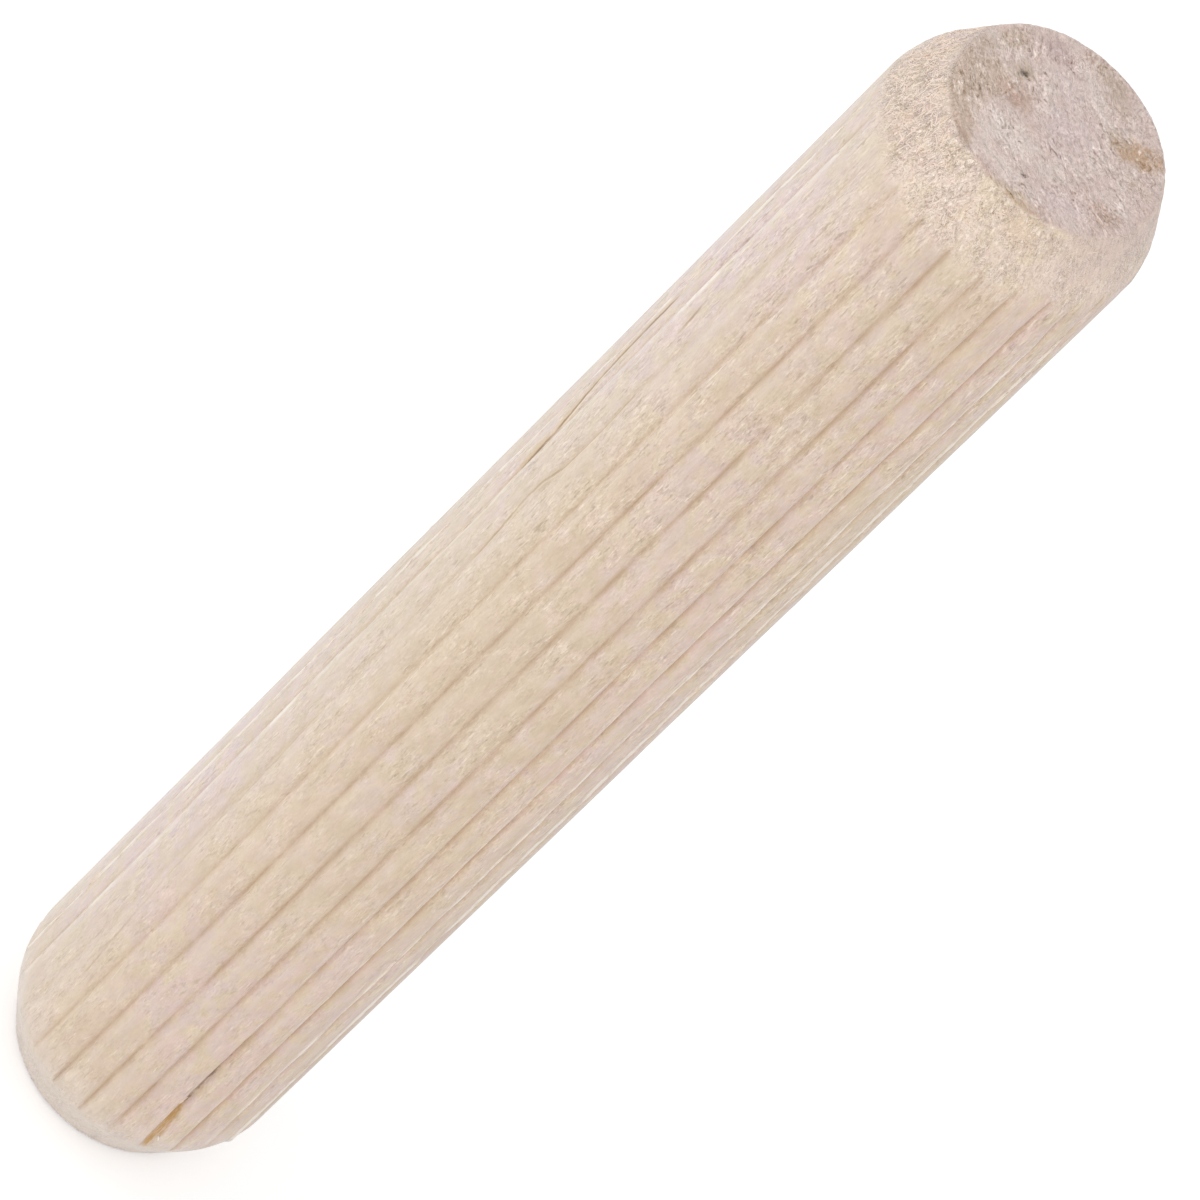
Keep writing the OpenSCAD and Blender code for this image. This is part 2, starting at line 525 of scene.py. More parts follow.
class Recipe:
    """Short words for the sums of one material."""

    def __init__(self, name):
        self.material = bpy.data.materials.new(name)
        self.material.use_nodes = True
        self.tree = self.material.node_tree
        self.shader = self.tree.nodes["Principled BSDF"]
        place = put(self.tree, "ShaderNodeTexCoord").outputs["Object"]
        self.mm = put(
            self.tree, "ShaderNodeVectorMath", {0: place, "Scale": 1 / MM}, operation="SCALE"
        ).outputs[0]
        self.xyz = put(self.tree, "ShaderNodeSeparateXYZ", {0: self.mm}).outputs
        self.turn = self.product(self.sum("ARCTAN2", self.xyz["Y"], self.xyz["X"]), 180 / math.pi)
        self.colours = bpy.context.scene.dowel_colours

    def sum(self, operation, a, b=0.0, c=0.0):
        """One operation on one, two or three numbers."""
        return put(self.tree, "ShaderNodeMath", {0: a, 1: b, 2: c}, operation=operation).outputs[0]

    def product(self, *values):
        """All the values multiplied together."""
        result = values[0]
        for value in values[1:]:
            result = self.sum("MULTIPLY", result, value)
        return result

    def stretched(self, scale, shift=(0, 0, 0), place=None):
        """A place, or else the point on the piece in millimetres, scaled and then shifted."""
        inputs = {0: place or self.mm, 1: scale, 2: shift}
        return put(self.tree, "ShaderNodeVectorMath", inputs, operation="MULTIPLY_ADD").outputs[0]

    def noise(self, scale, shift=(0, 0, 0), detail=2.0, rough=0.5, twist=0.0, place=None):
        """Noise of 0 to 1, centred on a half; scale is its features per millimetre along X, Y and Z."""
        inputs = {
            "Vector": self.stretched(scale, shift, place), "Scale": 1.0, "Detail": detail,
            "Roughness": rough, "Distortion": twist,
        }
        return put(self.tree, "ShaderNodeTexNoise", inputs).outputs["Fac"]

    def step(self, value, low, high, to_low=0.0, to_high=1.0):
        """An even curve from one value to another between low and high; low may be the larger."""
        inputs = {"Value": value, "From Min": low, "From Max": high, "To Min": to_low, "To Max": to_high}
        return put(
            self.tree, "ShaderNodeMapRange", inputs, interpolation_type="SMOOTHSTEP"
        ).outputs["Result"]

    def speckled(self, tone, level, step):
        """A tone made lighter or darker by a level about 0, in steps of red, green and blue."""
        return put(
            self.tree, "ShaderNodeVectorMath", {0: level, 1: step, 2: tone}, operation="MULTIPLY_ADD"
        ).outputs[0]

    def swing(self, value, reach):
        """Centres a noise on 0 and gives it a reach."""
        return self.sum("MULTIPLY_ADD", value, reach, -reach / 2)

    def mix(self, share, a, b, blend="MIX"):
        """Colour a where the share is 0, and b blended into it where the share is 1."""
        new = put(self.tree, "ShaderNodeMix", data_type="RGBA", blend_type=blend)
        for key, value in (("Factor_Float", share), ("A_Color", a), ("B_Color", b)):
            socket = next(s for s in new.inputs if s.identifier == key)
            if isinstance(value, bpy.types.NodeSocket):
                self.tree.links.new(value, socket)
            elif key == "Factor_Float":
                socket.default_value = value
            else:
                socket.default_value = (*value, 1)
        return next(s for s in new.outputs if s.identifier == "Result_Color")

    def tint(self, tone, colour, *shares):
        """Mixes a colour into a tone, by the product of the shares."""
        return self.mix(self.product(*shares), tone, colour)

    def off_path(self, points):
        """How far round the pin it is from a path of heights and angles, and 1 between the path's ends."""
        height = self.sum("DIVIDE", self.xyz["Z"], PIN_LENGTH / MM)
        node = put(self.tree, "ShaderNodeFloatCurve", {"Value": height})
        curve = node.mapping.curves[0]
        for z, a in points[1:-1]:
            curve.points.new(z * MM / PIN_LENGTH, a / 360 + 0.5)
        for point, (z, a) in ((curve.points[0], points[0]), (curve.points[-1], points[-1])):
            point.location = (z * MM / PIN_LENGTH, a / 360 + 0.5)
        node.mapping.update()
        middle = self.sum("MULTIPLY_ADD", node.outputs[0], 360, -180)
        off = self.product(self.sum("SUBTRACT", self.turn, middle), math.radians(LAND_RADIUS))
        foot = self.step(self.xyz["Z"], points[0][0], points[0][0] + PATH_FADE)
        top = self.step(self.xyz["Z"], points[-1][0], points[-1][0] - PATH_FADE)
        return off, self.product(foot, top)

    def noted(self, name):
        """What the shapes' own step noted under that name."""
        return put(self.tree, "ShaderNodeAttribute", attribute_name=name).outputs["Fac"]

    def patch(self, tone, colour, centre, size, turn, ragged, strength):
        """Mixes a colour into a tone inside a turned ellipse of that half size, with a soft ragged edge."""
        turned_by = (0, 0, math.radians(turn))
        inputs = {"Vector": self.mm, "Location": centre, "Rotation": turned_by, "Scale": size}
        place = put(self.tree, "ShaderNodeMapping", inputs, vector_type="TEXTURE").outputs[0]
        away = put(self.tree, "ShaderNodeVectorMath", {0: place}, operation="LENGTH").outputs["Value"]
        inside = self.step(self.sum("ADD", away, self.swing(ragged, PATCH_FRAY)), *PATCH_EDGE)
        return self.tint(tone, colour, inside, strength)


PATH_FADE = 1.2  # millimetres over which a line on the wood dies out at each end
PATCH_EDGE = (1.5, 0.5)  # a patch begins and is full this far from its middle, in half sizes
PATCH_FRAY = 2.4  # how far noise moves that edge in and out, in half sizes
# how much one step of lightness adds to red, green and blue, on the sides and on the end faces
EVEN_STEP = (0.735, 0.68, 0.615)
END_STEP = (0.745, 0.68, 0.67)
# painted light: the side that faces the side lamp, towards -X, made paler and bluer
PAINTED_SIDE_LIGHT = (1.0, 1.05, 1.13)
# painted light: the lamp side's edge paler and bluer, low down
PAINTED_RIM_LIGHT = (1.10, 1.14, 1.18)
PAINTED_SIDE_SHADES = (
    # painted shade on the side away from the side lamp: X where it starts and where it is full, in
    # millimetres, and what it multiplies the tone by
    (0.8, 2.6, (0.99, 0.978, 0.958)),
    (3.6, 4.4, (0.958, 0.97, 0.975)),
    (4.8, 5.0, (0.87, 0.86, 0.86)),
)
# painted light: the foot's chamfer paler and greyer, as lit by the white surroundings
PAINTED_FOOT_LIGHT = (0.875, 0.80, 0.74)
# painted highlight on the torn fibres' ridges and painted shade between them
TORN_PAINTED_HIGHLIGHT = (0.99, 0.87, 0.77)
TORN_SHADE = (0.66, 0.44, 0.27)
TORN_STRAW = (0.87, 0.705, 0.53)
TORN_PEACH = (0.86, 0.65, 0.49)
SPLIT_PALE = (0.76, 0.56, 0.41)
SPLIT_GOLD = (0.575, 0.35, 0.13)
SPLIT_DARK = (0.30, 0.18, 0.09)
END_PALE = (0.850, 0.725, 0.660)
END_LILAC = (0.800, 0.635, 0.615)
END_ORANGE = (0.62, 0.400, 0.245)
END_RED = (0.60, 0.41, 0.33)
# painted shade in the pits on the top face
PIT_PAINTED_SHADE = (0.20, 0.16, 0.12)
# painted highlight on the hatch's ridges and painted shade in its hollows
END_PAINTED_HIGHLIGHT = (0.98, 0.865, 0.79)
END_SHADE = (0.42, 0.30, 0.225)
END_STRAW = (0.70, 0.51, 0.33)
CHAMFER_WARM = (0.80, 0.625, 0.545)
END_PLUM = (0.65, 0.48, 0.455)
END_DUN = (0.63, 0.485, 0.385)
END_BROWN = (0.67, 0.51, 0.40)
PITH = (5.0, 7.2)  # the middle of the growth rings, in millimetres
PITH_AWAY = 8.5  # about how far the pith is from the end faces' middle, in millimetres
STRAW_PATCHES = (
    # middle and half size in millimetres, strength
    ((-1.5, -5, 31), (4, 3, 7.5), 0.8),
    ((4.5, -2, 44), (1.5, 2.5, 5), 0.6),
)
TORN_PATCHES = (
    # middle and half size in millimetres, tone, strength
    ((0.15, -4.0, 59.5), (0.6, 0.5, 0.6), TORN_STRAW, 0.9),
    ((1.4, -3.9, 59.4), (0.75, 0.5, 0.45), TORN_PEACH, 0.9),
    ((-1.7, -4.6, 58.0), (0.5, 0.5, 0.5), TORN_STRAW, 0.6),
    ((-3.4, -3.2, 58.2), (0.6, 0.6, 0.8), TORN_PEACH, 0.5),
    ((-4.3, -1.6, 58.4), (0.5, 0.8, 0.8), TORN_STRAW, 0.5),
)
FACE_PATCHES = (
    # middle and half sizes in millimetres, turn in degrees, tone, strength
    ((-0.9, -1.8), (1.1, 0.7), 10, END_PALE, 0.7),
    ((-0.3, -2.9), (1.0, 0.45), 0, END_PALE, 0.6),
    ((0.8, -1.6), (0.5, 0.4), -30, END_PALE, 0.6),
    ((-0.9, 0.8), (1.0, 0.3), -50, END_PALE, 0.5),
    ((-2.3, 1.05), (0.5, 0.2), -10, END_PALE, 0.5),
    ((0.2, 2.2), (1.5, 0.3), -35, END_PALE, 0.6),
    ((0.3, 0.3), (0.9, 1.1), 0, END_LILAC, 0.7),
    ((1.8, -2.3), (0.8, 0.5), 30, END_LILAC, 0.7),
    ((-0.7, 1.9), (0.7, 0.6), 0, END_LILAC, 0.5),
    ((2.35, 1.75), (0.85, 0.48), 22, END_ORANGE, 0.88),
    ((1.5, 1.6), (0.45, 0.35), 30, END_DUN, 0.6),
    ((2.9, 0.7), (0.5, 0.3), 0, END_DUN, 0.4),
    ((0.15, 3.35), (0.75, 0.36), 0, END_DUN, 0.7),
    ((0.8, 2.8), (0.55, 0.32), -20, END_DUN, 0.6),
    ((-1.7, 2.5), (0.55, 0.5), 0, END_PLUM, 0.8),
    ((-0.9, 3.35), (0.22, 0.16), 0, END_RED, 0.8),
    ((-1.85, -0.2), (0.75, 0.55), -30, END_RED, 1.0),
    ((-1.95, 0.72), (0.35, 0.42), 0, END_DUN, 0.9),
    ((-2.5, 0.0), (0.5, 0.3), 0, END_DUN, 0.6),
    ((-2.95, -0.8), (0.65, 0.55), 0, END_DUN, 0.8),
    ((-3.0, 1.2), (0.35, 1.0), -25, END_DUN, 0.75),
    ((-3.0, -1.9), (0.45, 0.8), 25, END_BROWN, 0.85),
    ((-2.2, -2.9), (0.95, 0.42), -52, END_BROWN, 0.8),
    ((-2.0, -3.15), (0.35, 0.22), -50, END_RED, 0.7),
    ((2.95, -1.3), (0.5, 0.42), 0, END_RED, 0.7),
    ((0.6, -3.62), (0.7, 0.25), 8, END_STRAW, 0.7),
    ((1.3, -3.35), (0.4, 0.2), 20, END_RED, 0.4),
    # painted shade in two of the pits
    ((-1.93, 0.66), (0.20, 0.09), 50, PIT_PAINTED_SHADE, 0.9),
    ((0.26, -2.64), (0.13, 0.06), 50, PIT_PAINTED_SHADE, 0.75),
)


def long_grain(r):
    """The tone and the relief of wood along its fibres, with painted light and shade on its sides and by the
    foot.
    """
    broad = r.noise((0.12, 0.12, 0.07), (5, 2, 9))
    blotch = r.noise((1.5, 1.5, 0.9), (3, 1, 7), detail=1.0)
    cool = r.noise((1.7, 1.7, 1.0), (1, 6, 3), detail=1.0)
    yellow = r.noise((2.6, 2.6, 1.4), (4, 9, 1), detail=1.0)
    cloud = r.noise((2.0, 2.0, 0.8), (9, 2, 4), detail=3.0, rough=0.6)
    streak = r.noise((2.2, 2.2, 0.10), (1, 8, 2), detail=3.0, rough=0.6)
    fleck = r.noise((8.5, 8.5, 2.4), (5, 5, 5), detail=3.0, rough=0.65, twist=0.4)
    fuzz = r.noise((17.0, 17.0, 6.5), (4, 4, 1), detail=2.0, rough=0.7)
    clusters = r.step(r.noise((1.1, 1.1, 0.6), (6, 8, 2)), 0.36, 0.62, 0.5, 1.45)
    clusters = r.product(clusters, r.step(r.xyz["Z"], 5, 50, 0.76, 1.2))
    pores = r.step(r.noise((11.0, 11.0, 1.7), (2, 7, 3), twist=0.3), 0.58, 0.66)
    hairs = r.step(r.noise((12.0, 12.0, 1.7), (8, 3, 6), twist=0.3), 0.59, 0.67)

    tone = r.mix(r.step(blotch, 0.38, 0.62), r.colours.cream, r.colours.rose)
    tone = r.mix(r.step(cool, 0.45, 0.62, 0.0, 0.75), tone, r.colours.lilac)
    tone = r.mix(r.step(yellow, 0.50, 0.66, 0.0, 0.5), tone, r.colours.straw)
    tone = r.mix(r.step(broad, 0.45, 0.65, 0.0, 0.6), tone, r.colours.straw)
    for centre, size, strength in STRAW_PATCHES:
        tone = r.patch(tone, r.colours.straw, centre, size, 0, cloud, strength)
    # painted light on the side lamp's side
    painted_light = r.sum("MULTIPLY_ADD", r.xyz["X"], -0.19, r.product(r.xyz["Y"], -0.06))
    tone = r.mix(r.step(painted_light, 0.6, 0.95), tone, PAINTED_SIDE_LIGHT, "MULTIPLY")
    # painted shade, darkest at the rim away from the side lamp
    for start, full, shade in PAINTED_SIDE_SHADES:
        tone = r.mix(r.step(r.xyz["X"], start, full), tone, shade, "MULTIPLY")
    # painted light at the lamp side's edge, fading out between 8 and 30 mm up
    low = r.product(r.step(r.xyz["X"], -4.84, -4.96), r.step(r.xyz["Z"], 30, 8))
    tone = r.mix(low, tone, PAINTED_RIM_LIGHT, "MULTIPLY")
    # painted light on the foot, against the floor's shade; noise frays its edge
    foot_light_fray = r.noise((1.1, 1.1, 1.1), (2, 2, 2), detail=4.0, rough=0.6)
    foot_light_reach = r.sum("ADD", r.xyz["Z"], r.swing(foot_light_fray, 2.6))
    tone = r.mix(r.step(foot_light_reach, 4.2, 0.9, 0.0, 0.66), tone, PAINTED_FOOT_LIGHT)
    tone = r.tint(tone, r.colours.pore, pores, clusters, 0.22)
    tone = r.tint(tone, r.colours.fibre, hairs, clusters, 0.40)
    speckle = r.product(r.sum("ADD", r.swing(fleck, 0.34), r.swing(fuzz, 0.32)), clusters)
    level = r.sum("ADD", r.sum("ADD", speckle, r.swing(cloud, 0.30)), r.swing(streak, 0.08))
    relief = r.sum("MULTIPLY_ADD", fleck, 0.014, r.product(fuzz, 0.006))
    return r.speckled(tone, level, EVEN_STEP), relief


def torn_grain(r):
    """The tone and the relief of torn wood: short crooked fibres with painted highlights and painted shade.
    """
    blotch = r.step(r.noise((1.6, 1.6, 1.1), (3, 1, 7), detail=3.0), 0.38, 0.62)
    fibre = r.noise((5.8, 5.8, 2.6), (2, 2, 9), detail=2.0, rough=0.6, twist=1.5)
    thread = r.noise((9.0, 9.0, 3.4), (7, 5, 3), detail=2.0, rough=0.65, twist=1.3)
    crumb = r.noise((18.0, 18.0, 11.0), (1, 1, 8), detail=1.0)
    straw = r.noise((1.8, 1.8, 1.3), (8, 2, 5), detail=1.0)
    ragged = r.noise((1.8, 1.8, 1.8), (4, 4, 2), detail=3.0)
    clusters = r.step(r.noise((1.5, 1.5, 1.2), (5, 3, 8), detail=1.0), 0.36, 0.62, 0.72, 1.2)

    # painted light and shade: lit and shaded copies of the torn wood, in random blotches
    tone = r.mix(blotch, r.colours.torn_painted_shade, r.colours.torn)
    tone = r.mix(r.step(straw, 0.48, 0.60, 0.0, 0.7), tone, TORN_STRAW)
    for centre, size, stain, strength in TORN_PATCHES:
        tone = r.patch(tone, stain, centre, size, 0, ragged, strength)
    # painted highlights on the raised threads and painted shade where the fibres lie low
    tone = r.tint(tone, TORN_PAINTED_HIGHLIGHT, r.step(thread, 0.56, 0.66, 0.0, 0.55), clusters)
    tone = r.tint(tone, TORN_SHADE, r.step(fibre, 0.44, 0.32, 0.0, 0.30), clusters)
    # lightness follows the relief's noises, painted light and shade, with random crumbs
    level = r.sum("ADD", r.sum("ADD", r.swing(fibre, 0.5), r.swing(thread, 1.5)), r.swing(crumb, 0.7))
    # painted light: the torn wood lighter all round but for turns from -180 to -145 degrees
    painted_light = r.step(r.turn, -145, -110, 0.0, 0.18)
    relief = r.sum("ADD", r.swing(fibre, 0.16), r.swing(thread, 0.1))
    level = r.sum("ADD", r.product(level, clusters), painted_light)
    return r.speckled(tone, level, EVEN_STEP), r.product(relief, clusters)


def crack_stain(r, tone, number, crack):
    """Draws one crack along the grain: a brown line with a yellow stain, and a painted highlight on one lip
    beside it.
    """
    points, _, half, darkness = crack
    off, ends = r.off_path(points)
    fray = r.noise((3, 3, 1.6), (number * 5, 3, 3), detail=3.0, rough=0.7)
    off = r.sum("ADD", off, r.swing(fray, 0.12))
    run = r.product(ends, r.step(r.noise((1, 1, 0.8), (number * 3, 8, 1)), 0.30, 0.55, 0.35, 1.0))
    away = r.sum("ABSOLUTE", off)
    beside = r.sum("ABSOLUTE", r.sum("SUBTRACT", off, half * 2.6))
    tone = r.tint(tone, r.colours.stain, run, r.step(away, half * 6, half), darkness * 0.7)
    # painted highlight on the lip to one side of the crack
    tone = r.tint(tone, r.colours.fibre, run, r.step(beside, half * 1.4, 0), darkness * 0.8)
    return r.tint(tone, r.colours.crack, run, r.step(away, half * 1.5, half * 0.3), darkness)


def split_stain(r, tone):
    """Colours the torn-out pocket by the foot and the dark line that runs on from it."""
    off, _ = r.off_path(SPLIT_PATH)
    fibre = r.noise((14, 14, 1.3), (3, 3, 3), detail=3.0, rough=0.6)
    ragged = r.noise((5, 5, 1.5), (1, 3, 6), detail=3.0, rough=0.7)
    off = r.sum("ADD", off, r.swing(ragged, 0.26))
    pocket = r.product(r.step(r.xyz["Z"], 1.7, 3.0), r.step(r.xyz["Z"], 5.7, 4.4))
    half = r.sum("MULTIPLY_ADD", pocket, 0.15, 0.02)
    middle = r.sum("MULTIPLY_ADD", pocket, 0.10, off)
    inside = r.step(r.sum("SUBTRACT", r.sum("ABSOLUTE", middle), half), 0.07, -0.06)
    gold = r.mix(r.step(off, -0.22, -0.02), SPLIT_PALE, SPLIT_GOLD)
    gold = r.mix(r.step(fibre, 0.48, 0.66, 0.0, 0.75), gold, r.colours.cream)
    tone = r.tint(tone, gold, inside, r.step(pocket, 0.0, 0.5, 0.0, 0.95))
    run = r.product(r.step(r.xyz["Z"], 4.9, 5.3), r.step(r.xyz["Z"], 8.6, 7.0))
    return r.tint(tone, SPLIT_DARK, run, r.step(r.sum("ABSOLUTE", off), 0.12, 0.035), 0.9)


def end_grain(r):
    """The tone and the relief of the end faces: hatching along the growth rings with painted highlights and
    shade, crumbs and stains.
    """
    from_pith = r.stretched((1, 1, 0), (-PITH[0], -PITH[1], 0))
    flat = put(r.tree, "ShaderNodeSeparateXYZ", {0: from_pith}).outputs
    ring = put(r.tree, "ShaderNodeVectorMath", {0: from_pith}, operation="LENGTH").outputs["Value"]
    turn = r.product(r.sum("ARCTAN2", flat["Y"], flat["X"]), PITH_AWAY)
    rings = put(r.tree, "ShaderNodeCombineXYZ", {"X": ring, "Y": turn}).outputs[0]
    hatch = r.noise((5.6, 2.4, 1.0), (1, 1, 0), detail=4.0, rough=0.7, twist=1.5, place=rings)
    crumb = r.noise((8.0, 8.0, 8.0), (6, 2, 0), detail=3.0, rough=0.75)
    smudge = r.noise((0.9, 0.9, 0.9), (7, 3, 1), detail=4.0, rough=0.6)
    ragged = r.noise((1.8, 1.8, 1.8), (2, 5, 3), detail=4.0, rough=0.65)
    clusters = r.step(r.noise((0.9, 0.9, 0.9), (4, 8, 2)), 0.36, 0.62, 0.35, 1.55)

    tone = r.mix(r.step(smudge, 0.36, 0.62), r.colours.end, r.colours.end_warm)
    for (x, y), (half_x, half_y), turn, stain, strength in FACE_PATCHES:
        centre, size = (x, y, PIN_LENGTH / MM), (half_x, half_y, 1)
        tone = r.patch(tone, stain, centre, size, turn, ragged, strength)
    chip = r.noted("chip")
    tone = r.tint(tone, END_BROWN, chip, 0.45)
    # painted highlight along the chip's broken edge
    tone = r.tint(tone, END_PALE, r.step(chip, 0.02, 0.15), r.step(chip, 0.5, 0.2, 0.0, 0.4))
    # painted highlights and shade following the hatch's relief
    tone = r.tint(tone, END_PAINTED_HIGHLIGHT, r.step(hatch, 0.58, 0.68), clusters, 0.45)
    tone = r.tint(tone, END_SHADE, r.step(hatch, 0.42, 0.32), clusters, 0.45)
    strength = r.step(clusters, 0.2, 1.8, 0.55, 1.45)
    # lightness follows the relief's noises: painted light and shade
    level = r.product(r.sum("ADD", r.swing(hatch, 1.1), r.swing(crumb, 1.15)), strength)
    relief = r.sum("ADD", r.swing(hatch, 0.12), r.swing(crumb, 0.07))
    return r.speckled(tone, level, END_STEP), relief


def hardwood():
    """Bare pale hardwood: long grain, torn grain, flutes with stain and painted shade, lips with painted
    highlights, cracks and end grain.
    """
    r = Recipe("bare_hardwood")
    torn, burr = r.noted("torn"), r.noted("burr")
    face = r.sum("MINIMUM", r.sum("ADD", r.noted("end_grain"), r.noted("chip")), 1.0)
    tone, relief = long_grain(r)
    torn_tone, torn_relief = torn_grain(r)
    face_tone, face_relief = end_grain(r)

    tone = r.tint(tone, torn_tone, torn, 0.8)
    wild = r.noise((1.4, 1.4, 1.0), (7, 7, 7), detail=4.0, rough=0.6)
    rise = r.step(r.sum("ADD", r.xyz["Z"], r.swing(wild, 2.0)), 57.8, 59.6)
    tone = r.tint(tone, CHAMFER_WARM, rise, r.step(r.turn, -62, -25, 0.0, 0.8))
    patchy = r.step(r.noise((0.9, 0.9, 0.4), (3, 9, 2), detail=4.0, rough=0.65), 0.34, 0.66, 0.15, 0.85)
    # stain and painted shade along the flutes' roots
    tone = r.tint(tone, r.colours.groove_stain_and_shade, r.noted("groove_stain_and_shade"), patchy)
    for number, crack in enumerate(CRACKS):
        tone = crack_stain(r, tone, number, crack)
    tone = split_stain(r, tone)
    broken = r.step(r.noise((3.0, 3.0, 0.9), (8, 8, 8), detail=3.0, rough=0.6), 0.38, 0.56, 0.45, 1.0)
    # painted highlight along the standing burrs, partly the crushed lips' own paler fibres
    lip = r.sum("MINIMUM", r.product(burr, broken), 1.0)
    crisp = r.sum("MAXIMUM", r.step(lip, 0.3, 0.85), r.product(lip, 0.8))
    tone = r.mix(crisp, tone, r.colours.lip)
    tone = r.mix(face, tone, face_tone)
    r.tree.links.new(tone, r.shader.inputs["Base Color"])

    # the relief is in millimetres
    relief = r.sum("MULTIPLY_ADD", torn_relief, torn, relief)
    relief = r.sum("MULTIPLY_ADD", face_relief, face, relief)
    bump = put(r.tree, "ShaderNodeBump", {"Height": relief, "Distance": MM, "Strength": 1.0})
    r.tree.links.new(bump.outputs[0], r.shader.inputs["Normal"])
    r.shader.inputs["Roughness"].default_value = 0.7
    r.shader.inputs["Sheen Weight"].default_value = 0.6
    r.shader.inputs["Sheen Roughness"].default_value = 0.3
    return r.material


# -------------------- pieces

FIBRE_SEED = 4
TORN_TRIES = 4200  # tries at a fibre on the top end; most fall where the wood isn't torn badly enough
BURR_FIBRES = 40  # fibres along a burr of full strength
LAND_FIBRES = 160
HAIR_HALF = 0.045  # half the width of a hair beside the pocket, in millimetres


def new_piece(name, bm, material):
    """Makes a smooth shaded piece from a bmesh, and frees the bmesh."""
    mesh = bpy.data.meshes.new(name)
    bm.to_mesh(mesh)
    bm.free()
    mesh.shade_smooth()
    mesh.materials.append(material)
    piece = bpy.data.objects.new(name, mesh)
    bpy.context.scene.collection.objects.link(piece)
    return piece


def lifted_fibre(bm, place, normal, lengthwise, size, rise, sway):
    """One loose fibre with its foot in the wood: a long thin ball, bent outwards and sideways to its tip.

    Its size is half its width and its whole length.
    """
    sideways = normal.cross(lengthwise)
    for v in bmesh.ops.create_icosphere(bm, subdivisions=1, radius=1)["verts"]:
        x, y, t = v.co
        u = (t + 1) / 2
        thin = size.x * (1 - 0.5 * u)
        v.co = place + lengthwise * (t * size.y / 2) + normal * (x * thin + rise * u * u - 0.4 * size.x)
        v.co += sideways * (y * thin + sway * u * u)


def loose_fibres(bm, pin, sizes):
    """Fibres on the torn chamfer, along the crushed lips of the flutes, on the lands and by the pocket."""
    dice = random.Random(FIBRE_SEED)
    skin = BVHTree.FromObject(pin, bpy.context.evaluated_depsgraph_get())

    def plant(turn, height, size, rise, sway, tilt):
        outside = Vector((math.cos(turn), math.sin(turn), 0))
        place, normal, _, _ = skin.ray_cast(outside * 2 * sizes.radius + Vector((0, 0, height)), -outside)
        if place:
            lengthwise = Quaternion(normal, tilt) @ (Vector((0, 0, 1)) - normal * normal.z).normalized()
            lifted_fibre(bm, place, normal, lengthwise, size * MM, rise * MM, sway * MM)

    for _ in range(TORN_TRIES):
        turn = dice.uniform(-math.pi, math.pi)
        height = sizes.length - dice.uniform(0.4, 3.2) * MM
        base = Vector((sizes.radius * math.cos(turn), sizes.radius * math.sin(turn), height))
        size = Vector((dice.uniform(0.018, 0.042), dice.uniform(0.15, 0.7)))
        tilt = dice.gauss(0, 0.75)
        if dice.random() < torn_share(base, sizes) * 1.8 - 1.15:
            plant(turn, height, size, dice.uniform(0, 0.04), dice.gauss(0, 0.09), tilt)
    for flute, (side, strength, _) in BURRS.items():
        for _ in range(round(BURR_FIBRES * strength)):
            height = dice.uniform(3.5, 56) * MM
            turn = sizes.flute_turn + flute * 2 * math.pi / sizes.flutes + flute_drift(flute, height, sizes)
            turn += side * dice.gauss(0.2, 0.03) * MM / sizes.radius
            size = Vector((dice.uniform(0.012, 0.024), dice.uniform(0.4, 1.6)))
            plant(turn, height, size, dice.uniform(0, 0.04), dice.gauss(0, 0.03), dice.gauss(0, 0.03))
    for _ in range(LAND_FIBRES):
        size = Vector((dice.uniform(0.010, 0.018), dice.uniform(0.25, 0.7)))
        turn = dice.uniform(-math.pi, math.pi)
        height = dice.uniform(2, 56) * MM
        plant(turn, height, size, dice.uniform(0, 0.03), dice.gauss(0, 0.03), dice.gauss(0, 0.2))
    for height, degrees, tilt, reach in SPLIT_HAIRS:
        size = Vector((HAIR_HALF, reach))
        plant(math.radians(degrees), height * MM, size, 0.06, 0.05, math.radians(tilt))
    bmesh.ops.recalc_face_normals(bm, faces=bm.faces)


def fibre_wood():
    """Paler wood for the loose fibres."""
    r = Recipe("loose_fibre")
    tone = r.mix(r.step(r.noise((0.7, 0.7, 0.5), (2, 6, 4)), 0.4, 0.6), r.colours.fibre, r.colours.lip)
    # the fibres on the top end take the torn wood's darker tone, partly its own colour and partly painted
    # shade where the top catches more light
    tone = r.mix(r.step(r.xyz["Z"], 55.5, 56.5, 0.0, 0.8), tone, r.colours.torn)
    r.tree.links.new(tone, r.shader.inputs["Base Color"])
    r.shader.inputs["Roughness"].default_value = 0.6
    return r.material


class DOWEL_OT_turn_pin(bpy.types.Operator):
    """Turns, flutes and wears the pin"""

    bl_idname = "dowel.turn_pin"
    bl_label = "Turn the pin"

    def execute(self, context):
        sizes = context.scene.dowel_sizes
        bm = turned_blank(sizes)
        press_flutes(bm, sizes)
        open_split(bm, sizes)
        weather(bm, sizes)
        piece = new_piece("turned_pin", bm, hardwood())
        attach(piece, BODY)
        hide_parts(NODE)
        return {"FINISHED"}


class DOWEL_OT_lift_fibres(bpy.types.Operator):
    """Sets the loose fibres on the torn and crushed wood"""

    bl_idname = "dowel.lift_fibres"
    bl_label = "Lift the loose fibres"

    def execute(self, context):
        pin = context.scene.objects.get("turned_pin")
        if pin is None:
            raise RuntimeError("The pin has to be turned first")
        bm = bmesh.new()
        loose_fibres(bm, pin, context.scene.dowel_sizes)
        piece = new_piece("loose_fibres", bm, fibre_wood())
        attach(piece, BODY)
        return {"FINISHED"}


# -------------------- the stage

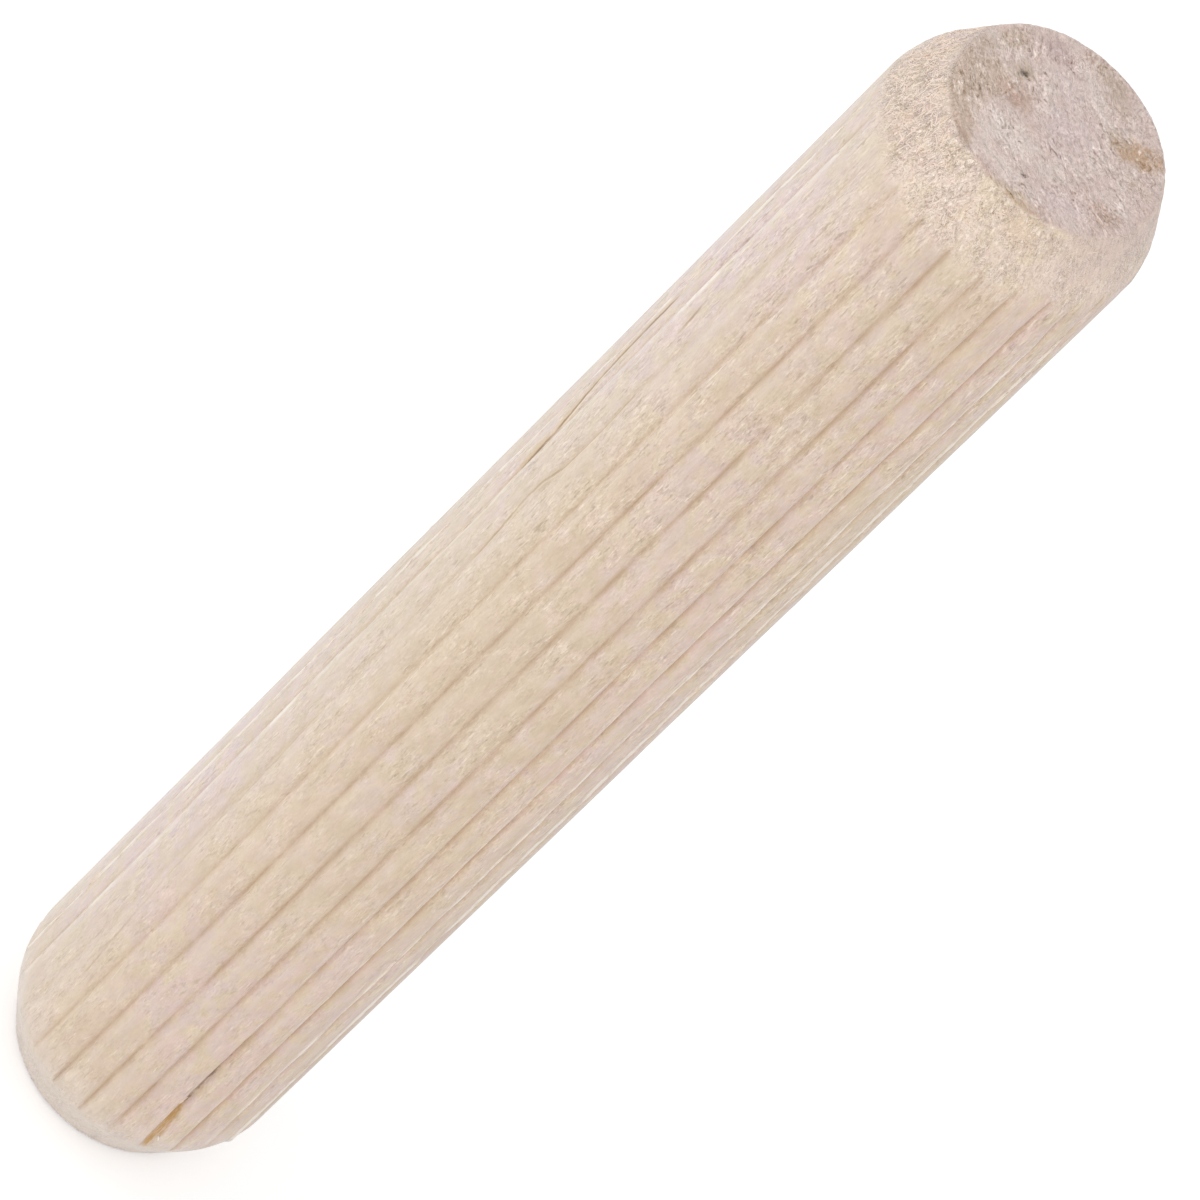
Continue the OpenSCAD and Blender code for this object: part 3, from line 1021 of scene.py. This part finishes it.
# Sizes and places are in metres, but for the sensor's.
SENSOR_WIDTH = 36  # millimetres
NEAREST_SEEN = 0.01
FARTHEST_SEEN = 10
LAMP_SIZE = 0.40
SIDE_LAMP_PLACE = (-0.58, 0.0, 0.30)
FRONT_LAMP_PLACE = (-0.02, -0.60, 0.30)
FLOOR_HALF = 3
FLOOR_GLOW = (0.32, 0.32, 0.32, 1)
WHITE = (1, 1, 1, 1)


def look_at(place, aim, roll):
    """The turn of a camera or a lamp that looks from a place at its aim."""
    back = (Vector(place) - Vector(aim)).normalized()
    return Quaternion(back, roll) @ back.to_track_quat("Z", "Y")


def add_camera(stage):
    data = bpy.data.cameras.new("camera")
    data.lens = stage.camera_lens
    data.sensor_width = SENSOR_WIDTH
    data.clip_start, data.clip_end = NEAREST_SEEN, FARTHEST_SEEN
    camera = bpy.data.objects.new("camera", data)
    camera.rotation_mode = "QUATERNION"
    camera.location = stage.camera_place
    camera.rotation_quaternion = look_at(stage.camera_place, stage.camera_aim, stage.camera_roll)
    bpy.context.scene.collection.objects.link(camera)
    bpy.context.scene.camera = camera


def add_lamp(name, place, power):
    """A round soft lamp that looks at the middle of the pin."""
    data = bpy.data.lights.new(name, "AREA")
    data.shape = "DISK"
    data.size = LAMP_SIZE
    data.energy = power
    lamp = bpy.data.objects.new(name, data)
    lamp.rotation_mode = "QUATERNION"
    lamp.location = place
    lamp.rotation_quaternion = look_at(place, (0, 0, PIN_LENGTH / 2), 0)
    bpy.context.scene.collection.objects.link(lamp)


def floor_material(colour):
    """Pale paint with a glow that only the camera sees, so the glow doesn't light the pin."""
    material = bpy.data.materials.new("pale_floor")
    material.use_nodes = True
    tree = material.node_tree
    tree.nodes.clear()
    seen = put(tree, "ShaderNodeLightPath").outputs["Is Camera Ray"]
    glow = put(tree, "ShaderNodeEmission", {"Color": FLOOR_GLOW, "Strength": seen})
    paint = put(tree, "ShaderNodeBsdfDiffuse", {"Color": (*colour, 1)})
    both = put(tree, "ShaderNodeAddShader", {0: glow.outputs[0], 1: paint.outputs[0]})
    put(tree, "ShaderNodeOutputMaterial", {"Surface": both.outputs[0]})
    return material


class DOWEL_OT_set_stage(bpy.types.Operator):
    """Lays the floor and sets the lights and the camera"""

    bl_idname = "dowel.set_stage"
    bl_label = "Set the stage"

    def execute(self, context):
        stage = context.scene.dowel_stage
        bm = bmesh.new()
        bmesh.ops.create_grid(bm, x_segments=1, y_segments=1, size=FLOOR_HALF)
        floor = new_piece("floor", bm, floor_material(stage.floor))
        add_camera(stage)
        add_lamp("side_lamp", SIDE_LAMP_PLACE, stage.side_power)
        add_lamp("front_lamp", FRONT_LAMP_PLACE, stage.front_power)
        world = bpy.data.worlds.new("studio")
        world.use_nodes = True
        background = world.node_tree.nodes["Background"]
        background.inputs["Color"].default_value = WHITE
        background.inputs["Strength"].default_value = stage.room_light
        context.scene.world = world
        context.scene.view_settings.view_transform = "Standard"
        return {"FINISHED"}


class DOWEL_PT_panel(bpy.types.Panel):
    """Lists the steps that build the pin and its stage"""

    bl_idname = "DOWEL_PT_panel"
    bl_label = "Fluted Dowel Pin"
    bl_space_type = "VIEW_3D"
    bl_region_type = "UI"
    bl_category = "Dowel"

    def draw(self, context):
        for step in STEPS:
            self.layout.operator(step.bl_idname)


STEPS = (DOWEL_OT_turn_pin, DOWEL_OT_lift_fibres, DOWEL_OT_set_stage)
CLASSES = (DowelSizes, DowelColours, DowelStage, *STEPS, DOWEL_PT_panel)


def register():
    for cls in CLASSES:
        bpy.utils.register_class(cls)
    bpy.types.Scene.dowel_sizes = PointerProperty(type=DowelSizes)
    bpy.types.Scene.dowel_colours = PointerProperty(type=DowelColours)
    bpy.types.Scene.dowel_stage = PointerProperty(type=DowelStage)


def unregister():
    del bpy.types.Scene.dowel_stage
    del bpy.types.Scene.dowel_colours
    del bpy.types.Scene.dowel_sizes
    for cls in reversed(CLASSES):
        bpy.utils.unregister_class(cls)


def main():
    register()
    bpy.ops.dowel.turn_pin()
    bpy.ops.dowel.lift_fibres()
    bpy.ops.dowel.set_stage()


if __name__ == "__main__":
    main()
